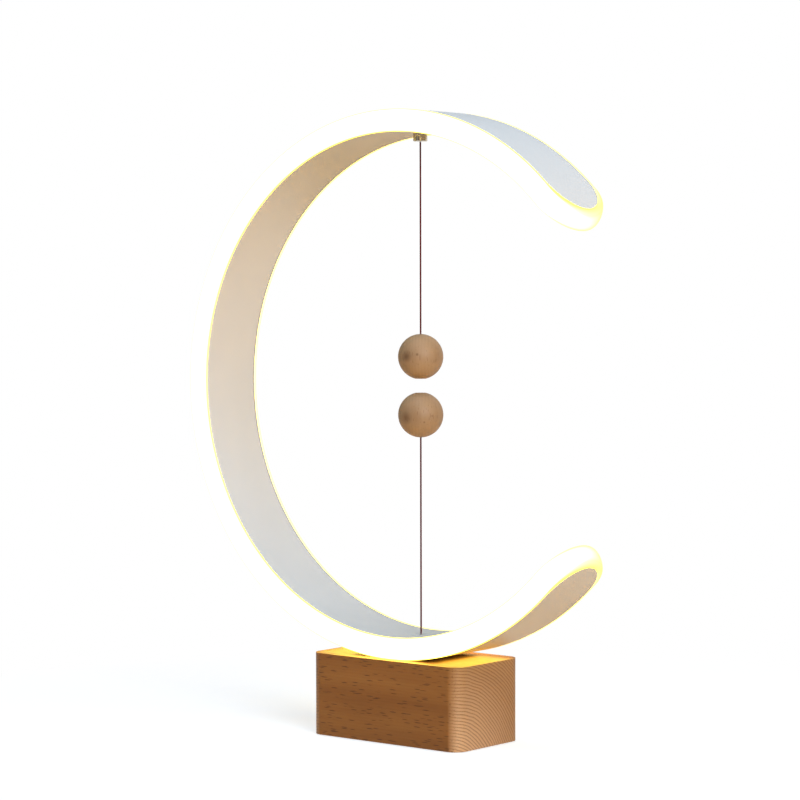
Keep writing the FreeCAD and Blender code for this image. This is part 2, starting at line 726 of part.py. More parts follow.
def make_ball(name, centre, facing):
    """A ball with its magnet, knot and flat-ended plug. Facing is -1 where the magnet is below."""
    ball = doc.addObject("Part::Sphere", name + "_sphere")
    bind(ball, Radius="ball_radius")
    place(ball, ("cord_offset", "0", centre))

    def inside(part, radius, near, far):
        """A cylinder on the string's axis between two distances from the centre, magnet side."""
        low = f"{centre} + {near}" if facing > 0 else f"{centre} - ({far})"
        return cylinder(f"{name}_{part}", radius, f"({far}) - ({near})", ("cord_offset", "0", low))

    magnet_pocket = inside("magnet_pocket", "magnet_radius + fit_gap", "magnet_end", "ball_radius")
    knot_space = inside("knot_space", "knot_pocket", "knot_end", "magnet_end")
    string_hole = inside("string_hole", "ball_hole", "-ball_radius", "magnet_end")
    node(cut(name + "_turned", ball, [magnet_pocket, knot_space, string_hole]), name + "_ball")
    node(inside("disc", "magnet_radius", "magnet_end", "pocket_reach"), name + "_magnet")
    plug_round = inside("plug_round", "magnet_radius", "pocket_reach", "ball_radius - plug_flat")
    plug_ball = doc.addObject("Part::Sphere", name + "_plug_sphere")
    bind(plug_ball, Radius="ball_radius")
    place(plug_ball, ("cord_offset", "0", centre))
    node(common(name + "_plug_cap", [plug_round, plug_ball]), name + "_plug")
    node(inside("knot", "knot_radius", "knot_end", "knot_end + knot_length"), name + "_ball_knot")


def make_cords():
    """The strings: straight while the balls attract each other."""
    top = "mouth_level - joint_gap"
    node(cylinder("upper_string", "cord_radius", f"{top} - (upper_centre - knot_end)",
                  ("cord_offset", "0", "upper_centre - knot_end")), "upper_cord")
    node(cylinder("lower_string", "cord_radius",
                  "lower_centre + knot_end - 2 * joint_gap - floor_level",
                  ("cord_offset", "0", "floor_level + joint_gap")), "lower_cord")
    node(cylinder("pull_string", "cord_radius", "floor_level - pull_knot_top",
                  ("cord_offset", "0", "pull_knot_top")), "pull_cord")
    node(cylinder("pull_end", "knot_radius", "knot_length",
                  ("cord_offset", "0", "pull_knot_top - knot_length")), "pull_knot")


# The switch

def make_tube():
    profile = [
        ("cord_hole", "0"),
        ("tube_radius", "0"),
        ("tube_radius", "tube_top - tube_bottom - joint_gap"),
        ("cord_hole", "tube_top - tube_bottom - joint_gap"),
    ]
    node(turned("tube", profile, ("cord_offset", "0", "tube_bottom")), "cord_guide")


def make_guide():
    """The barrel that the plunger runs in, with a plate against the base's ceiling."""
    barrel = cylinder("guide_barrel", "barrel_radius", "barrel_length",
                      ("cord_offset", "0", "barrel_bottom"))
    plate = block("guide_plate", ("barrel_plate_length", "barrel_plate_width", "barrel_plate"),
                  ("cord_offset", "0", "spring_top"))
    bore = cylinder("guide_bore", "piston_radius + fit_gap", "spring_top - barrel_bottom - barrel_floor",
                    ("cord_offset", "0", "barrel_bottom + barrel_floor"))
    foot = cylinder("guide_foot", "stem_radius + fit_gap", "barrel_floor + 2 * overcut",
                    ("cord_offset", "0", "barrel_bottom - overcut"))
    throat = cylinder("guide_throat", "tube_radius + fit_gap", "barrel_plate + 2 * overcut",
                      ("cord_offset", "0", "spring_top - overcut"))
    holes = [cylinder("guide_screw_hole%d" % index, "small_shank + hole_gap", "barrel_plate + 2 * overcut",
                      (x, y, "spring_top - overcut")) for index, (x, y) in enumerate(GUIDE_SCREWS)]
    node(cut("guide", fuse("guide_blank", [barrel, plate]), [bore, foot, throat] + holes), "switch_guide")


def make_plunger():
    hollow = "stem_length + piston_length / 2"
    total = "stem_length + piston_length"
    profile = [
        ("knot_pocket", "0"),
        ("stem_radius", "0"),
        ("stem_radius", "stem_length"),
        ("piston_radius", "stem_length"),
        ("piston_radius", total),
        ("ball_hole", total),
        ("ball_hole", hollow),
        ("knot_pocket", hollow),
    ]
    node(turned("plunger", profile, ("cord_offset", "0", "stem_bottom")), "pull_plunger")


def make_spring():
    """The square-wire compression spring over the piston, while the string holds the piston up."""
    length = "spring_top - piston_top - 2 * spring_wire - 2 * joint_gap"
    pitch = f"({length}) / spring_turns"
    print("return_spring: least gap between turns %.2f mm" % value(f"{pitch} - 2 * spring_wire"))
    helix = doc.addObject("Part::Helix", "spring_line")
    bind(helix, Radius="spring_radius", Height=length, Pitch=pitch)
    section = doc.addObject("Part::RegularPolygon", "spring_section")
    section.Polygon = 4
    bind(section, Circumradius="spring_wire * sqrt(2)")
    place(section, ("spring_radius", "0", "0"))
    upright = FreeCAD.Rotation(FreeCAD.Vector(1, 0, 0), 90)
    section.Placement.Rotation = upright * FreeCAD.Rotation(FreeCAD.Vector(0, 0, 1), 45)
    coil = doc.addObject("Part::Sweep", "spring_coil")
    coil.Sections = [section]
    coil.Spine = (helix, ["Edge1"])
    coil.Solid = True
    coil.Frenet = True
    place(coil, ("cord_offset", "0", "piston_top + spring_wire + joint_gap"))
    node(coil, "return_spring")


def make_switch():
    middle = "cord_offset - switch_gap - switch_length / 2"
    case = block("switch_case", ("switch_length", "switch_width", "switch_height"),
                 (middle, "0", "board_top"))
    ears = [block(f"switch_ear{side}", ("2 * lever_inset", "ear_thick", "lever_rise + lever_eye"),
                  ("pivot_x", f"{sign}(switch_width - ear_thick) / 2", "switch_top"))
            for side, sign in enumerate(("", "-"))]
    pin_hole = cylinder("switch_pin_hole", "pin_radius", "switch_width + 2 * overcut",
                        ("pivot_x", "-(switch_width / 2) - overcut", "pivot_level"), "y")
    button_hole = cylinder("switch_button_hole", "button_radius + fit_gap",
                           "button_depth + button_travel + joint_gap + overcut",
                           ("pivot_x + button_place", "0",
                            "switch_top - button_depth - button_travel - joint_gap"))
    node(cut("switch", fuse("switch_blank", [case] + ears), [pin_hole, button_hole]), "switch_housing")
    node(cylinder("pin", "pin_radius", "switch_width",
                  ("pivot_x", "-(switch_width / 2)", "pivot_level"), "y"), "lever_pin")


def make_lever():
    """A spring steel lever with a rolled eye, made level and turned about its pin."""
    arm = doc.addObject("Part::Box", "lever_arm")
    bind(arm, Length="lever_reach + lever_tail", Width="lever_width", Height="lever_thick")
    place(arm, ("0", "-(lever_width / 2)", "-(lever_thick / 2)"))
    eye = cylinder("lever_roll", "lever_eye", "lever_width", ("0", "-(lever_width / 2)", "0"), "y")
    bore = cylinder("lever_bore", "pin_radius + fit_gap", "lever_width + 2 * overcut",
                    ("0", "-(lever_width / 2) - overcut", "0"), "y")
    lever = cut("lever", fuse("lever_blank", [arm, eye]), [bore])
    place(lever, ("pivot_x", "0", "pivot_level"))
    lever.Placement.Rotation = FreeCAD.Rotation(FreeCAD.Vector(0, -1, 0), 1)
    lever.setExpression("Placement.Rotation.Angle", formula("lever_angle"))
    node(lever, "switch_lever")


def make_button():
    top = "pivot_level + button_place * tan(lever_angle) - lever_thick / 2 - joint_gap"
    low = "switch_top - button_depth"
    node(cylinder("button", "button_radius", f"{top} - ({low})", ("pivot_x + button_place", "0", low)),
         "switch_button")


# The electronics

def make_board():
    plate = block("board_plate", ("board_length", "board_width", "board_thick"), ("0", "0", "board_bottom"))
    holes = [cylinder("board_hole%d" % index, "small_shank + hole_gap", "board_thick + 2 * overcut",
                      (x, y, "board_bottom - overcut")) for index, (x, y) in enumerate(BOARD_SCREWS)]
    node(cut("board", plate, holes), "control_board")
    can = cylinder("capacitor", "can_radius", "can_height",
                   ("board_length / 4", "board_width / 4", "board_top"))
    coil = cylinder("inductor", "coil_radius", "coil_height",
                    ("board_length / 4", "-board_width / 4", "board_top"))
    chip = block("driver_chip", ("chip_side", "chip_side", "chip_thick"),
                 ("cord_offset", "board_width / 3", "board_top"))
    header = block("lead_header", ("header_width", "header_width", "header_height"),
                   ("lead_place", "lead_side", "board_top"))
    node(group("board_part_group", [can, coil, chip, header]), "board_parts")


def make_socket():
    """The inlet: a bezel through the wall, a flange behind it, a tail on the board, and a tongue."""
    bezel = new_body("socket_bezel", ("socket_place", "base_depth / 2", "socket_level"))
    front = new_sketch(bezel, "bezel_outline", "XZ_Plane")
    draw_round_rectangle(front, "socket_width", "socket_height", "(socket_height / 4)")
    pad(bezel, "bezel_block", front, "base_wall")
    flange_width = "socket_width + 2 * socket_flange"
    flange = block("socket_back", (flange_width, "socket_flange_thick", "socket_height"),
                   ("socket_place", "wall_inner - socket_flange_thick / 2",
                    "socket_level - socket_height / 2"))
    tail_height = "2 * (socket_level - board_top)"
    tail = block("socket_tail", ("socket_width - socket_flange", "tail_length", tail_height),
                 ("socket_place", "wall_inner - socket_flange_thick - tail_length / 2", "board_top"))
    middle = "base_depth / 2 - mouth_depth / 2 + overcut / 2"
    slot = [block("mouth_slot", ("mouth_width - mouth_height", "mouth_depth + overcut", "mouth_height"),
                  ("socket_place", middle, "socket_level - mouth_height / 2"))]
    for side, sign in enumerate(("+", "-")):
        end_x = f"socket_place {sign} (mouth_width - mouth_height) / 2"
        slot.append(cylinder("mouth_end%d" % side, "mouth_height / 2", "mouth_depth + overcut",
                             (end_x, "base_depth / 2 - mouth_depth", "socket_level"), "y"))
    tongue = block("mouth_tongue", ("mouth_width - mouth_height", "mouth_depth", "tongue_thick"),
                   ("socket_place", "base_depth / 2 - mouth_depth / 2 - overcut",
                    "socket_level - tongue_thick / 2"))
    mouth = cut("mouth_space", fuse("mouth_blank", slot), [tongue])
    node(cut("socket", fuse("socket_blank", [bezel, flange, tail]), [mouth]), "power_socket")


def make_lead():
    """The wire from the board, up through the base, to the strip."""
    print("ring_lead: bend radius %.1f mm" % value("lead_bend"))
    bend_level = "lead_top - lead_bend"
    rise = cylinder("lead_rise", "lead_radius", f"{bend_level} - header_top",
                    ("lead_place", "lead_side", "header_top"))
    bend = doc.addObject("Part::Torus", "lead_bend_arc")
    bind(bend, Radius1="lead_bend", Radius2="lead_radius")
    bend.Angle3 = 90
    place(bend, ("lead_place", "lead_side + lead_bend", bend_level))
    bend.Placement.Rotation = FreeCAD.Rotation(FreeCAD.Vector(0, -1, 0), FreeCAD.Vector(0, 0, 1),
                                               FreeCAD.Vector(-1, 0, 0), "XYZ")
    run = cylinder("lead_run", "lead_radius", "core_width / 2 - lead_side - lead_bend",
                   ("lead_place", "lead_side + lead_bend", "lead_top"), "y")
    node(fuse("lead", [rise, bend, run]), "ring_lead")


def build():
    make_diffuser()
    make_skins()
    make_core()
    make_strip()
    make_chips()
    make_seat_block()
    make_base()
    make_cover()
    make_pad()
    make_screws()
    make_holder()
    make_upper_knot()
    make_ball("upper", "upper_centre", -1)
    make_ball("lower", "lower_centre", 1)
    make_cords()
    make_tube()
    make_guide()
    make_plunger()
    make_spring()
    make_switch()
    make_lever()
    make_button()
    make_board()
    make_socket()
    make_lead()
    doc.recompute()


def check_and_write():
    failed = [thing.Name for thing in doc.Objects if {"Invalid", "Error"} & set(thing.State)]
    if failed:
        raise RuntimeError("not built: " + ", ".join(failed))
    os.makedirs("parts", exist_ok=True)
    for thing in nodes:
        shape = thing.Shape
        if shape.isNull() or not shape.isValid() or not shape.Solids:
            raise RuntimeError("no valid solid: " + thing.Label)
        print("%-16s solids %3d volume %10.1f" % (thing.Label, len(shape.Solids), shape.Volume))
    for thing in nodes:
        thing.Shape.exportStep(os.path.join("parts", thing.Label + ".step"))


build()
check_and_write()
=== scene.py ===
import json
import math

import bmesh
import bpy
from mathutils import Matrix, Vector


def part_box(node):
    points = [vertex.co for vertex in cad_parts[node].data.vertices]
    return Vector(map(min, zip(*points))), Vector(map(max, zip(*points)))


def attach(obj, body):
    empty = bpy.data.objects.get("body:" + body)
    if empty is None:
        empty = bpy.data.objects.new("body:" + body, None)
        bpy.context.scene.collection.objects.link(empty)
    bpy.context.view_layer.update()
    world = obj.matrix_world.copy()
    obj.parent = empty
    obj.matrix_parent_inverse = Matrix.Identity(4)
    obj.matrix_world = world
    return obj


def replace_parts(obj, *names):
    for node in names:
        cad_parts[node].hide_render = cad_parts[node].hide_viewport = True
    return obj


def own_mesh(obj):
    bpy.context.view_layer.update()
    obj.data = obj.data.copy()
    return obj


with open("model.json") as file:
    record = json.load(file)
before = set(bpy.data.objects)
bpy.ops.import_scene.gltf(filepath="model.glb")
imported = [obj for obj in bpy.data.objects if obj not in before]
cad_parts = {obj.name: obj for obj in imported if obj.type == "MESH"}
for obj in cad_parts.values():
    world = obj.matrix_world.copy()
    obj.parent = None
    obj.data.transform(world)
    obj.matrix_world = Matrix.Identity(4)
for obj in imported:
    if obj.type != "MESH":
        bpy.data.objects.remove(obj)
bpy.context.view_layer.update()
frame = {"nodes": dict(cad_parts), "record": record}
scene = bpy.context.scene

# Sizes that the frame holds, in metres
DIFFUSER_LOW, DIFFUSER_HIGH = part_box("diffuser")
RING_RADIUS = -DIFFUSER_LOW.x
RING_WIDTH = DIFFUSER_HIGH.y - DIFFUSER_LOW.y
RING_CENTRE = (DIFFUSER_LOW + DIFFUSER_HIGH) / 2 * Vector((0, 1, 1))
INNER_SKIN_BACK = -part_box("inner_skin")[0].x
BASE_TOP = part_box("base_block")[1].z
UPPER_CORD_LOW, UPPER_CORD_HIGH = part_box("upper_cord")
LOWER_CORD_LOW, LOWER_CORD_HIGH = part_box("lower_cord")
PULL_CORD_LOW, PULL_CORD_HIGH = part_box("pull_cord")
CORD_X = (UPPER_CORD_LOW.x + UPPER_CORD_HIGH.x) / 2
CORD_RADIUS = (UPPER_CORD_HIGH.x - UPPER_CORD_LOW.x) / 2
UPPER_BALL_LOW, UPPER_BALL_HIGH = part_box("upper_ball")
UPPER_BALL = (UPPER_BALL_LOW + UPPER_BALL_HIGH) / 2
LOWER_BALL = sum(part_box("lower_ball"), Vector()) / 2
BALL_RADIUS = (UPPER_BALL_HIGH.x - UPPER_BALL_LOW.x) / 2

# Sizes of the C that its box doesn't show
SKIN_THICK = 0.0012
SKIN_GAP = 0.00005
RING_INNER = INNER_SKIN_BACK - SKIN_THICK
RING_MIDDLE = (RING_INNER + RING_RADIUS) / 2
NOSE = (RING_RADIUS - RING_INNER) / 2
EDGE_ROUND = 0.0009
WALL = 0.0035
LIP = 0.002

# Angles from +X: where the straight edges of the skins end, and those of the rim, a little further on
TIP_ANGLE = math.radians(46.5)
RIM_REACH = 0.0064
RIM_ANGLE = TIP_ANGLE - RIM_REACH / RING_RADIUS

# The hole in the floor of the C that the lower string comes up through
CORD_HOLE_ANGLE = 3 * math.pi / 2 + math.asin(CORD_X / RING_INNER)
CORD_HOLE_RADIUS = 0.0011

# The camera, from the photograph. It aims at the strings, level with the C's centre, moved right and up
CAMERA_AZIMUTH = math.radians(39.4)
CAMERA_ELEVATION = math.radians(2.3)
CAMERA_ROLL = math.radians(-0.11)
CAMERA_DISTANCE = 1.6833
CAMERA_AIM_RIGHT = -0.01317
CAMERA_AIM_UP = -0.00988
CAMERA_LENS = 119.16
CLIP_NEAR = 0.05
CLIP_FAR = 50


# Helpers

def direction(azimuth, elevation):
    """Azimuth 0 is the front, -Y, and 90 degrees is +X."""
    return Vector((math.sin(azimuth) * math.cos(elevation), -math.cos(azimuth) * math.cos(elevation),
                   math.sin(elevation)))


def new_object(name, data, body=None):
    """An object in the scene, and for a piece of the lamp its body."""
    thing = bpy.data.objects.new(name, data)
    scene.collection.objects.link(thing)
    if body:
        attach(thing, body)
    return thing


def mesh_from(name, points, faces):
    """A smooth mesh."""
    mesh = bpy.data.meshes.new(name)
    mesh.from_pydata([tuple(point) for point in points], [], faces)
    mesh.validate()
    mesh.update()
    mesh.polygons.foreach_set("use_smooth", [True] * len(mesh.polygons))
    return mesh


def grid_faces(rows, columns, close_rows=False, close_columns=False):
    """Quads between the points of a grid that is stored row by row."""
    faces = []
    for row in range(rows if close_rows else rows - 1):
        for column in range(columns if close_columns else columns - 1):
            right = (column + 1) % columns
            below = (row + 1) % rows
            faces.append((row * columns + column, row * columns + right,
                          below * columns + right, below * columns + column))
    return faces


def rgb(*colour):
    return (*colour, 1.0)


def toned(colour, share):
    """A colour at a share of its brightness."""
    return rgb(*(channel * share for channel in colour))


class Shader:
    """A material, or the world, that is put together node by node."""

    def __init__(self, name, world=False):
        self.data = bpy.data.worlds.new(name) if world else bpy.data.materials.new(name)
        self.data.use_nodes = True
        self.tree = self.data.node_tree
        self.tree.nodes.clear()
        self.output = self.tree.nodes.new("ShaderNodeOutputWorld" if world else "ShaderNodeOutputMaterial")

    def feed(self, socket, source):
        """Link another node's output to a socket, or set the socket's own value."""
        if isinstance(source, bpy.types.NodeSocket):
            self.tree.links.new(source, socket)
        else:
            socket.default_value = source

    def add(self, kind, inputs=None, **settings):
        node = self.tree.nodes.new("ShaderNode" + kind)
        for key, setting in settings.items():
            setattr(node, key, setting)
        for key, source in (inputs or {}).items():
            self.feed(node.inputs[key], source)
        return node

    def place(self, scale=(1, 1, 1)):
        """The mesh's own coordinates, in metres, times a scale."""
        where = self.add("TexCoord").outputs["Object"]
        return self.add("Mapping", {"Vector": where, "Scale": scale}).outputs[0]

    def noise(self, vector, scale, detail=3.0, roughness=0.5):
        return self.add("TexNoise", {"Vector": vector, "Scale": scale, "Detail": detail,
                                     "Roughness": roughness}).outputs[0]

    def ramp(self, source, stops):
        """Colours or greys at places from 0 to 1."""
        node = self.add("ValToRGB", {"Fac": source})
        elements = node.color_ramp.elements
        while len(elements) < len(stops):
            elements.new(0.5)
        for element, (position, colour) in zip(elements, stops):
            element.position = position
            element.color = rgb(*colour) if isinstance(colour, tuple) else rgb(colour, colour, colour)
        return node.outputs[0]

    def math(self, operation, first, second=0.0):
        node = self.add("Math", operation=operation)
        self.feed(node.inputs[0], first)
        self.feed(node.inputs[1], second)
        return node.outputs[0]

    def vector(self, operation, first, second=(0, 0, 0), output="Vector"):
        return self.add("VectorMath", {0: first, 1: second}, operation=operation).outputs[output]

    def mix(self, factor, first, second):
        """Mix two colours."""
        node = self.add("Mix", data_type="RGBA")
        sockets = {item.identifier: item for item in node.inputs}
        self.feed(sockets["Factor_Float"], factor)
        self.feed(sockets["A_Color"], first)
        self.feed(sockets["B_Color"], second)
        return next(item for item in node.outputs if item.identifier == "Result_Color")

    def bump(self, height, distance, strength):
        return self.add("Bump", {"Height": height, "Distance": distance, "Strength": strength}).outputs[0]

    def finish(self, surface):
        self.tree.links.new(surface, self.output.inputs["Surface"])
        return self.data

    def principled(self, **inputs):
        """Close the material with a standard surface; names use _ for a space."""
        named = {key.replace("_", " "): source for key, source in inputs.items()}
        return self.finish(self.add("BsdfPrincipled", named).outputs[0])


# Materials

def wood(name, pale, dark, end_grain, fleck, pith, ring_pitch, grain=(1, 0, 0), figure=1.0, spots=()):
    """Beech: rings about a pith that lies along the grain, with pores and short dark flecks. End grain near
    the pith is painted a paler, less saturated colour: a painted highlight.

    Figure is how plainly rings, flecks and the painted highlight show. Spots are dark marks, each with its
    centre, radius and depth of tone."""
    drawn_out = 0.09
    # The colour of the painted highlight on the end grain
    painted_highlight_colour = (0.8, 0.52, 0.3)
    shader = Shader(name)
    where = shader.place()

    def along(scale):
        """Coordinates that are drawn out along the grain."""
        return shader.place(tuple(scale * (drawn_out if part else 1.0) for part in grain))

    broad = shader.noise(along(60), 1.0, 4.0, 0.6)
    fine = shader.noise(along(2100), 1.0, 3.0, 0.65)
    wander = shader.noise(along(38), 1.0, 2.0)

    across = tuple(0.0 if part else 1.0 for part in grain)
    flat = shader.vector("MULTIPLY", shader.vector("SUBTRACT", where, pith), across)
    radius = shader.vector("LENGTH", flat, output="Value")
    radius = shader.math("ADD", radius, shader.math("MULTIPLY", wander, 2.2 * ring_pitch))
    ring = shader.math("FRACT", shader.math("DIVIDE", radius, ring_pitch))
    late = shader.ramp(ring, [(0.0, 0.12), (0.45, 0.0), (0.82, 0.6), (0.93, 1.0), (1.0, 0.12)])

    normal = shader.add("TexCoord").outputs["Normal"]
    facing = shader.vector("DOT_PRODUCT", normal, grain, "Value")
    end = shader.ramp(shader.math("ABSOLUTE", facing), [(0.1, 0.0), (0.75, 1.0)])
    end_share = shader.math("MULTIPLY", end, 0.75)

    cells = shader.add("TexVoronoi", {"Vector": along(1150), "Scale": 1.0, "Randomness": 1.0}, feature="F1")
    flecks = shader.math("MULTIPLY", shader.ramp(cells.outputs["Distance"], [(0.2, 1.0), (0.33, 0.0)]),
                         shader.ramp(cells.outputs["Color"], [(0.47, 0.0), (0.52, 1.0)]))
    flecks = shader.math("MULTIPLY", flecks, shader.math("SUBTRACT", 1.0, end_share))

    colour = shader.mix(shader.ramp(broad, [(0.3, 0.0), (0.7, 1.0)]), rgb(*pale), rgb(*dark))
    colour = shader.mix(shader.math("MULTIPLY", fine, 0.3), colour, rgb(*dark))
    colour = shader.mix(end_share, colour, rgb(*end_grain))
    # Painted highlight: end grain within a few centimetres of the pith is painted paler, weaker where figure
    # is low
    painted_highlight = shader.ramp(shader.math("MULTIPLY", radius, 10.0), [(0.35, 0.6 * figure), (0.8, 0.0)])
    colour = shader.mix(shader.math("MULTIPLY", end, painted_highlight), colour, rgb(*painted_highlight_colour))
    lines = shader.math("MULTIPLY", late, shader.ramp(end, [(0.0, 0.16 * figure), (1.0, 0.9 * figure)]))
    lines = shader.math("MULTIPLY", lines, shader.ramp(fine, [(0.35, 0.6), (0.6, 1.1)]))
    colour = shader.mix(lines, colour, toned(dark, 0.6))
    colour = shader.mix(shader.math("MULTIPLY", flecks, 0.25 + 0.6 * figure), colour, rgb(*fleck))
    for centre, size, depth in spots:
        away = shader.math("DIVIDE", shader.vector("DISTANCE", where, centre, "Value"), size)
        away = shader.math("ADD", away, shader.math("MULTIPLY", broad, 0.5))
        colour = shader.mix(shader.ramp(away, [(0.35, depth), (1.0, 0.0)]), colour, rgb(*fleck))

    relief = shader.math("SUBTRACT", shader.math("MULTIPLY", fine, 0.5), flecks)
    return shader.principled(Base_Color=colour, Roughness=shader.ramp(fine, [(0.0, 0.42), (1.0, 0.62)]),
                             Specular_IOR_Level=0.35, Normal=shader.bump(relief, 0.00006, 0.5))


def paint(name, colour, roughness):
    """Satin paint, with a fine orange peel and a slight unevenness."""
    shader = Shader(name)
    peel = shader.noise(shader.place(), 500.0, 2.0)
    cloud = shader.noise(shader.place(), 18.0, 3.0)
    tone = shader.mix(shader.ramp(cloud, [(0.35, 0.0), (0.65, 1.0)]), rgb(*colour), toned(colour, 0.965))
    rough = shader.ramp(cloud, [(0.3, roughness - 0.04), (0.7, roughness + 0.05)])
    return shader.principled(Base_Color=tone, Roughness=rough, Normal=shader.bump(peel, 0.00001, 0.1))


def metal(name, colour, roughness, streak=(1, 1, 1), streak_scale=900.0):
    """Plated or drawn metal, with fine lines across one direction."""
    shader = Shader(name)
    lines = shader.noise(shader.place(streak), streak_scale, 3.0, 0.6)
    rough = shader.ramp(lines, [(0.25, roughness * 0.7), (0.75, roughness * 1.4)])
    tone = shader.mix(lines, toned(colour, 0.9), rgb(*colour))
    return shader.principled(Base_Color=tone, Metallic=1.0, Roughness=rough,
                             Normal=shader.bump(lines, 0.00002, 0.4))


def plastic(name, colour, roughness, grain=2200.0):
    """Moulded plastic or rubber, with a fine spark-eroded grain."""
    shader = Shader(name)
    pits = shader.noise(shader.place(), grain, 3.0, 0.7)
    smear = shader.noise(shader.place(), 60.0, 2.0)
    brighter = rgb(*(min(1.0, channel * 1.15 + 0.004) for channel in colour))
    tone = shader.mix(smear, rgb(*colour), brighter)
    rough = shader.ramp(smear, [(0.3, roughness - 0.06), (0.7, roughness + 0.06)])
    return shader.principled(Base_Color=tone, Roughness=rough, Normal=shader.bump(pits, 0.00004, 0.5))


def braid(name, colour):
    """Twisted string: fine threads over a dark red brown."""
    shader = Shader(name)
    threads = shader.noise(shader.place((1, 1, 0.25)), 9000.0, 2.0, 0.6)
    tone = shader.mix(threads, toned(colour, 0.55), toned(colour, 1.5))
    return shader.principled(Base_Color=tone, Roughness=0.9, Specular_IOR_Level=0.0,
                             Normal=shader.bump(threads, 0.00006, 0.7))


def glow(name, face, lip, strength):
    """Milky plastic lit from inside, dimmer at its lips and edges, under a faintly amber surface."""
    shader = Shader(name)
    edge = shader.add("Attribute", attribute_name="lip").outputs["Fac"]
    cloud = shader.noise(shader.place(), 40.0, 2.0)
    level = shader.math("MULTIPLY", shader.ramp(edge, [(0.0, 1.0), (0.5, 0.38), (1.0, 0.29)]), strength)
    level = shader.math("MULTIPLY", level, shader.ramp(cloud, [(0.0, 0.97), (1.0, 1.0)]))
    tone = shader.mix(shader.ramp(edge, [(0.1, 0.0), (0.6, 1.0)]), rgb(*face), rgb(*lip))
    return shader.principled(Base_Color=shader.mix(edge, rgb(0.9, 0.88, 0.84), rgb(0.5, 0.42, 0.24)),
                             Roughness=0.4, Emission_Color=tone, Emission_Strength=level, Coat_Weight=1.0,
                             Coat_IOR=1.1, Coat_Roughness=0.3, Coat_Tint=rgb(1.0, 0.96, 0.28),
                             Normal=shader.bump(cloud, 0.00002, 0.2))


def ball_mark(ball, azimuth, elevation, size, depth):
    """A knot or a stain on a ball, for the wood's spots; its place is in degrees."""
    facing = direction(math.radians(azimuth), math.radians(elevation))
    return tuple(ball + facing * BALL_RADIUS), size, depth


MATERIALS = {
    "diffuser": glow("milky_diffuser", face=(1.0, 0.79, 0.62), lip=(1.0, 0.86, 1.0), strength=12.0),
    "skin": paint("satin_paint", (0.71, 0.685, 0.65), 0.5),
    "frame": metal("extruded_aluminium", (0.72, 0.73, 0.74), 0.38, streak=(1, 40, 1)),
    "strip": plastic("white_mask", (0.82, 0.8, 0.74), 0.4),
    "chips": plastic("lens", (0.9, 0.7, 0.16), 0.2),
    "beech": wood("beech_block", pale=(0.34, 0.146, 0.035), dark=(0.225, 0.084, 0.016),
                  end_grain=(0.42, 0.23, 0.1), fleck=(0.05, 0.014, 0.003),
                  pith=(0.0, -0.038, -0.024), ring_pitch=0.002),
    "ball_wood": wood("beech_ball", pale=(0.41, 0.262, 0.148), dark=(0.28, 0.16, 0.078),
                      end_grain=(0.4, 0.25, 0.135), fleck=(0.1, 0.045, 0.018),
                      pith=(-0.02, -0.03, 0.22), ring_pitch=0.0021, grain=(0, 0, 1), figure=0.2,
                      spots=[ball_mark(UPPER_BALL, 0, 0, 0.0056, 0.62),
                             ball_mark(UPPER_BALL, 30, 5, 0.0015, 0.6),
                             ball_mark(LOWER_BALL, -1, -4, 0.0062, 0.55),
                             ball_mark(LOWER_BALL, 69, 1, 0.0012, 0.4),
                             ball_mark(LOWER_BALL, 48, -15, 0.0012, 0.5)]),
    "string": braid("red_brown_string", (0.1, 0.009, 0.008)),
    "nickel": metal("nickel_plate", (0.62, 0.56, 0.46), 0.16, streak=(1, 1, 0.02), streak_scale=1500.0),
    "magnet": metal("magnet_plate", (0.66, 0.66, 0.67), 0.2),
    "steel": metal("zinc_plate", (0.56, 0.56, 0.57), 0.3),
    "brass_tube": metal("drawn_brass", (0.72, 0.5, 0.2), 0.28, streak=(1, 1, 0.02)),
    "dark_plastic": plastic("dark_plastic", (0.018, 0.018, 0.02), 0.46),
    "light_plastic": plastic("light_plastic", (0.68, 0.66, 0.6), 0.4),
    "button": plastic("button_plastic", (0.4, 0.03, 0.02), 0.35),
    "pad": plastic("rubber_sheet", (0.02, 0.02, 0.02), 0.75, grain=1300.0),
    "board": plastic("board_mask", (0.01, 0.09, 0.03), 0.3),
    "board_parts": plastic("moulded_parts", (0.025, 0.025, 0.03), 0.35),
    "lead": plastic("wire_cover", (0.62, 0.6, 0.54), 0.4),
}


def dress_solids():
    """Give each solid of the frame the material of its slot."""
    for part in frame["record"]["subparts"]:
        solid = frame["nodes"][part["node"]]
        solid.data.materials.clear()
        solid.data.materials.append(MATERIALS[part["material_slot"]])


# The C. A place on it is an angle from +X, a distance from its axis and a depth.

def ring_point(angle, radius, y):
    return RING_CENTRE + Vector((radius * math.cos(angle), y, radius * math.sin(angle)))


def rim_stations(run_steps=220, tip_steps=36):
    """Once round the outline: the front, the lower tip, the back, and the upper tip.

    A station on a straight run has its share of the way down the C and its side of the ribbon; one on a tip
    has 1 for the lower tip or 0 for the upper one, and its lean round the tip."""
    sweep = [step / run_steps for step in range(run_steps + 1)]
    leans = [math.pi * (step / tip_steps - 0.5) for step in range(1, tip_steps)]
    stations = [("run", share, -1) for share in sweep]
    stations += [("tip", 1, lean) for lean in leans]
    stations += [("run", share, 1) for share in reversed(sweep)]
    stations += [("tip", 0, -lean) for lean in leans]
    return stations


def rim_point(station, start, across, along, radius):
    """A point of one line round the outline, at a distance from the axis.

    The straight runs go from the start angle to its mirror image, at a distance across from the middle of
    the ribbon, and the round tips reach out past them by a distance along it."""
    kind, share, turn = station
    angle = start + (2 * math.pi - 2 * start) * share
    if kind == "run":
        return ring_point(angle, radius, turn * across)
    reach = math.asin(along * math.cos(turn) / radius)
    past = angle + reach if share else angle - reach
    return ring_point(past, radius, across * math.sin(turn))


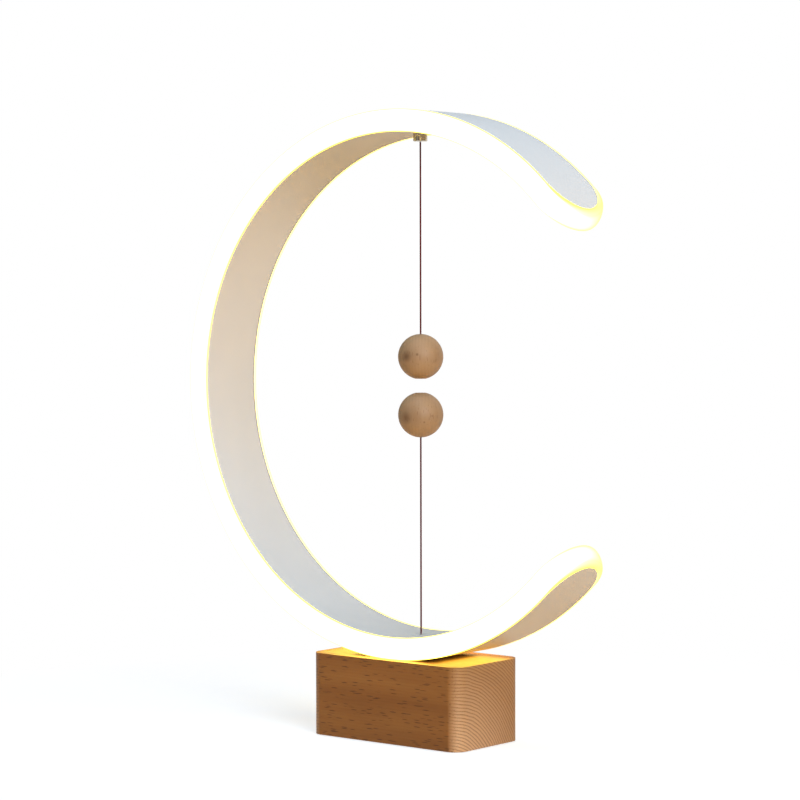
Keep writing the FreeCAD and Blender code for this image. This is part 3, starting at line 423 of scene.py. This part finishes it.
def diffuser_lines(steps=26):
    """The lines that make up the milky channel, once round its section.

    Each has its start angle, half width, tip reach, radius and closeness to an edge."""
    half = RING_WIDTH / 2
    flat = NOSE - EDGE_ROUND
    rim = []
    for step in range(steps + 1):
        lean = math.pi * (step / steps - 0.5)
        side = NOSE * math.sin(lean)
        over = max(0.0, abs(side) - flat)
        inset = EDGE_ROUND - math.sqrt(max(0.0, EDGE_ROUND ** 2 - over ** 2))
        rim.append((RIM_ANGLE, half - inset, half - NOSE + NOSE * math.cos(lean),
                    RING_MIDDLE + side, over / EDGE_ROUND))

    def lip(radius, seat):
        """From the lip's edge down to the skin's seat and in to the wall."""
        return [(TIP_ANGLE, half - inset, half - inset, place, 1.0)
                for inset, place in ((LIP, radius), (LIP, seat), (WALL, seat))]

    outer_lip = lip(RING_RADIUS, RING_RADIUS - SKIN_THICK)
    inner_lip = lip(RING_INNER, RING_INNER + SKIN_THICK)
    return rim + outer_lip + inner_lip[::-1]


def make_diffuser():
    """The milky channel, with the closeness of each point to a lip or an edge for its glow."""
    tip_dimming = 0.8
    stations = rim_stations()
    lines = diffuser_lines()
    points = [rim_point(station, *line[:4]) for station in stations for line in lines]
    mesh = mesh_from("milky_channel", points,
                     grid_faces(len(stations), len(lines), close_rows=True, close_columns=True))
    closeness = []
    for kind, share, turn in stations:
        tip = tip_dimming * math.cos(turn) if kind == "tip" else 0.0
        for start, across, along, radius, edge in lines:
            side = min(1.0, abs(radius - RING_MIDDLE) / NOSE)
            closeness.append(max(edge, tip * side ** 3))
    mesh.attributes.new("lip", "FLOAT", "POINT").data.foreach_set("value", closeness)
    mesh.materials.append(MATERIALS["diffuser"])
    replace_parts(new_object("milky_channel", mesh, "lamp"), "diffuser")


def pierce(mesh, rows, across, radius, angle, size):
    """Cut a round hole in a sheet: a patch of its grid gives way to a ring of faces about the hole."""
    margin = 0.003
    half_patch = size + margin
    lines = [row for row, place in enumerate(rows) if abs(place[0] - angle) * radius < half_patch]
    first, last = lines[0] - 1, lines[-1] + 1
    step = 2 * rows[first][1] / across
    reach = math.ceil(half_patch / step)
    left, right = across // 2 - reach, across // 2 + reach
    loop = [(first, column) for column in range(left, right)]
    loop += [(row, right) for row in range(first, last)]
    loop += [(last, column) for column in range(right, left, -1)]
    loop += [(row, left) for row in range(last, first, -1)]
    net = bmesh.new()
    net.from_mesh(mesh)
    net.verts.ensure_lookup_table()
    width = across + 1
    inner = [net.verts[row * width + column]
             for row in range(first + 1, last) for column in range(left + 1, right)]
    outline = [net.verts[row * width + column] for row, column in loop]
    bmesh.ops.delete(net, geom=inner, context="VERTS")
    edge = []
    for (row, column), corner in zip(loop, outline):
        along = (rows[row][0] - angle) * radius
        aside = corner.co.y
        share = size / math.hypot(along, aside)
        edge.append(net.verts.new(ring_point(angle + along * share / radius, radius, aside * share)))
    for spot, corner in enumerate(outline):
        after = (spot + 1) % len(outline)
        net.faces.new((corner, outline[after], edge[after], edge[spot])).smooth = True
    net.to_mesh(mesh)
    net.free()


def make_skin(name, node, radius, grows_inward, holes=()):
    """A painted sheet on the C, as rows from edge to edge; each hole has an angle and a radius."""
    across, run_steps, tip_steps = 24, 260, 40
    half = RING_WIDTH / 2 - LIP - SKIN_GAP
    least_width = 1e-6
    low = 2 * math.pi - TIP_ANGLE
    rows = []
    for step in range(tip_steps, 0, -1):
        lean = math.pi / 2 * (1 - step / tip_steps)
        rows.append((TIP_ANGLE - math.asin(half * math.cos(lean) / radius),
                     max(half * math.sin(lean), least_width)))
    rows += [(TIP_ANGLE + (low - TIP_ANGLE) * step / run_steps, half) for step in range(run_steps + 1)]
    rows += [(2 * math.pi - angle, reach) for angle, reach in reversed(rows[:tip_steps])]
    points = [ring_point(angle, radius, reach * (2 * column / across - 1))
              for angle, reach in rows for column in range(across + 1)]
    mesh = mesh_from(name, points, grid_faces(len(rows), across + 1))
    for angle, size in holes:
        pierce(mesh, rows, across, radius, angle, size)
    mesh.materials.append(MATERIALS["skin"])
    skin = new_object(name, mesh, "lamp")
    solid = skin.modifiers.new("thickness", "SOLIDIFY")
    solid.thickness = SKIN_THICK
    solid.offset = -1.0 if grows_inward else 1.0
    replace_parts(skin, node)


# The strings

def string_line(name, low, high):
    """The centreline of a taut string, as the points of its own spline."""
    curve = bpy.data.curves.new(name, "CURVE")
    curve.dimensions = "3D"
    spline = curve.splines.new("NURBS")
    route = [(CORD_X, 0, high), (CORD_X, 0, (low + high) / 2), (CORD_X, 0, low)]
    spline.points.add(len(route) - 1)
    for point, place in zip(spline.points, route):
        point.co = (*place, 1)
    spline.order_u = 3
    spline.use_endpoint_u = True
    holder = new_object(name, curve)
    line = bpy.data.meshes.new_from_object(holder)
    points = [vertex.co.copy() for vertex in line.vertices]
    bpy.data.objects.remove(holder)
    bpy.data.curves.remove(curve)
    bpy.data.meshes.remove(line)
    return points


def make_string(name, node, body, low, high, from_top=True):
    """A three-strand twisted string, with where it leaves the lamp, its path from there and its length."""
    strands, around = 3, 18
    pitch = 0.0034
    step = 0.00028
    groove = 0.16
    line = string_line(name + "_line", low, high)
    top, foot = line[0], line[-1]
    length = (foot - top).length
    rows = max(2, round(length / step))
    points = []
    for row in range(rows + 1):
        middle = top.lerp(foot, row / rows)
        for spot in range(around):
            angle = 2 * math.pi * spot / around
            twist = angle - 2 * math.pi * (middle.z - low) / pitch
            reach = CORD_RADIUS * (1 - groove + groove * abs(math.cos(strands * twist / 2)))
            points.append(middle + Vector((math.cos(angle), math.sin(angle), 0)) * reach)
    faces = grid_faces(rows + 1, around, close_columns=True)
    faces.append(tuple(range(around)))
    faces.append(tuple(reversed(range(rows * around, (rows + 1) * around))))
    mesh = mesh_from(name, points, faces)
    mesh.materials.append(MATERIALS["string"])
    string = new_object(name, mesh, body)
    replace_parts(string, node)
    path = line if from_top else line[::-1]
    return string, tuple(path[0]), path, length


def make_strings():
    """The upper string hangs from its holder, the lower one comes up from the floor of the C."""
    upper_string, upper_exit, upper_path, upper_length = make_string(
        "upper_string", "upper_cord", "upper_bob", UPPER_CORD_LOW.z, UPPER_CORD_HIGH.z)
    lower_string, lower_exit, lower_path, lower_length = make_string(
        "lower_string", "lower_cord", "lower_line", LOWER_CORD_LOW.z, LOWER_CORD_HIGH.z, from_top=False)
    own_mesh(lower_string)
    make_string("pull_string", "pull_cord", "pull_line", PULL_CORD_LOW.z, PULL_CORD_HIGH.z)


# Camera, floor and light

def view_axes(back, roll=0.0):
    """The right and the up of a camera or lamp that looks along -back."""
    right = Vector((0, 0, 1)).cross(back).normalized()
    turn = Matrix.Rotation(roll, 3, back)
    return turn @ right, turn @ back.cross(right)


def aim(thing, place, back, roll=0.0):
    """Put a camera or lamp at a place, looking along -back."""
    axes = Matrix((*view_axes(back, roll), back)).transposed()
    thing.matrix_world = Matrix.Translation(place) @ axes.to_4x4()


def make_camera():
    back = direction(CAMERA_AZIMUTH, CAMERA_ELEVATION)
    right, up = view_axes(back, CAMERA_ROLL)
    target = Vector((CORD_X, 0, RING_CENTRE.z)) + right * CAMERA_AIM_RIGHT + up * CAMERA_AIM_UP
    data = bpy.data.cameras.new("camera")
    data.lens = CAMERA_LENS
    data.clip_start = CLIP_NEAR
    data.clip_end = CLIP_FAR
    camera = new_object("camera", data)
    aim(camera, target + back * CAMERA_DISTANCE, back, CAMERA_ROLL)
    scene.camera = camera


def make_floor():
    """A floor that is white where it is seen, with a soft shadow, and warm in the light it sends back."""
    half = 4.0
    shadow_reach = 0.42
    white, grey, warm = rgb(1, 1, 1), rgb(0.5, 0.5, 0.5), rgb(0.86, 0.47, 0.15)
    mesh = mesh_from("floor", [(-half, -half, 0), (half, -half, 0), (half, half, 0), (-half, half, 0)],
                     [(0, 1, 2, 3)])
    shader = Shader("floor")
    path = shader.add("LightPath")
    shown = shader.math("MAXIMUM", path.outputs["Is Glossy Ray"], path.outputs["Is Transmission Ray"])
    shown = shader.math("MAXIMUM", path.outputs["Is Camera Ray"], shown)
    away = shader.vector("DISTANCE", shader.place(), output="Value")
    far = shader.ramp(shader.math("DIVIDE", away, shadow_reach), [(0.3, 0.0), (1.0, 1.0)])
    shadowed = shader.add("BsdfDiffuse", {"Color": grey}).outputs[0]
    lift = shader.add("Emission", {"Color": white, "Strength": 0.7}).outputs[0]
    near = shader.add("AddShader", {0: shadowed, 1: lift}).outputs[0]
    plain = shader.add("Emission", {"Color": white, "Strength": 1.0}).outputs[0]
    seen = shader.add("MixShader", {"Fac": far, 1: near, 2: plain}).outputs[0]
    bounce = shader.add("BsdfDiffuse", {"Color": warm}).outputs[0]
    surface = shader.add("MixShader", {"Fac": shown, 1: bounce, 2: seen}).outputs[0]
    mesh.materials.append(shader.finish(surface))
    new_object("floor", mesh)


def make_world():
    """White behind the lamp, a pale blue room that lights it, and the screens that its gloss shows."""
    pale_blue = rgb(0.76, 0.88, 1.0)
    white_screen = (0.95, 0.9, 0.85)
    shader = Shader("studio", world=True)
    scene.world = shader.data
    path = shader.add("LightPath")
    facing = shader.add("SeparateXYZ", {0: shader.add("TexCoord").outputs["Generated"]})
    turn = shader.math("ARCTAN2", facing.outputs["X"], shader.math("MULTIPLY", facing.outputs["Y"], -1.0))
    turn = shader.math("ADD", shader.math("DIVIDE", turn, 2 * math.pi), 0.5)
    screens = shader.ramp(turn, [(0.08, white_screen), (0.16, (0.42, 0.4, 0.26)), (0.34, (0.5, 0.48, 0.32)),
                                 (0.39, (0.1, 0.07, 0.03)), (0.47, (0.42, 0.38, 0.34)),
                                 (0.55, (0.1, 0.06, 0.03)), (0.62, (0.95, 0.85, 0.72)),
                                 (0.7, (0.75, 0.58, 0.32)), (0.92, white_screen)])
    soft = shader.add("Background", {"Color": pale_blue, "Strength": 0.27}).outputs[0]
    gloss = shader.add("Background", {"Color": screens, "Strength": 1.0}).outputs[0]
    white = shader.add("Background", {"Color": rgb(1, 1, 1), "Strength": 1.0}).outputs[0]
    shown = shader.math("MAXIMUM", path.outputs["Is Camera Ray"], path.outputs["Is Transmission Ray"])
    room = shader.add("MixShader", {"Fac": path.outputs["Is Glossy Ray"], 1: soft, 2: gloss}).outputs[0]
    shader.finish(shader.add("MixShader", {"Fac": shown, 1: room, 2: white}).outputs[0])


def make_area_light(name, shape, size, power, colour):
    data = bpy.data.lights.new(name, "AREA")
    data.shape = shape
    data.size = size
    data.energy = power
    data.color = colour
    return new_object(name, data)


def make_base_glow():
    """The warm light that the glowing edges throw down on the base, on each side of the seat."""
    length = 0.04
    offset = 0.042
    lift = 0.0028
    for side in (-1, 1):
        lamp = make_area_light("base_glow", "RECTANGLE", length, 0.024, (0.95, 0.95, 0.17))
        lamp.data.size_y = RING_WIDTH
        lamp.location = (side * offset, 0, BASE_TOP + lift)
        lamp.visible_camera = False


def make_studio_lamp(name, azimuth, elevation, distance, size, power, colour=(1, 1, 1)):
    """A round soft lamp; its direction from the C is in degrees."""
    lamp = make_area_light(name, "DISK", size, power, colour)
    back = direction(math.radians(azimuth), math.radians(elevation))
    aim(lamp, RING_CENTRE + back * distance, back)


dress_solids()
make_diffuser()
make_skin("outer_sheet", "outer_skin", RING_RADIUS, grows_inward=True)
make_skin("inner_sheet", "inner_skin", RING_INNER, grows_inward=False,
          holes=[(CORD_HOLE_ANGLE, CORD_HOLE_RADIUS)])
make_strings()
make_camera()
make_floor()
make_world()
make_studio_lamp("key", azimuth=60, elevation=20, distance=2.2, size=1.1, power=38)
make_studio_lamp("top", azimuth=20, elevation=78, distance=2.2, size=1.6, power=21, colour=(0.36, 0.65, 1.0))
make_base_glow()
scene.view_settings.view_transform = "Standard"
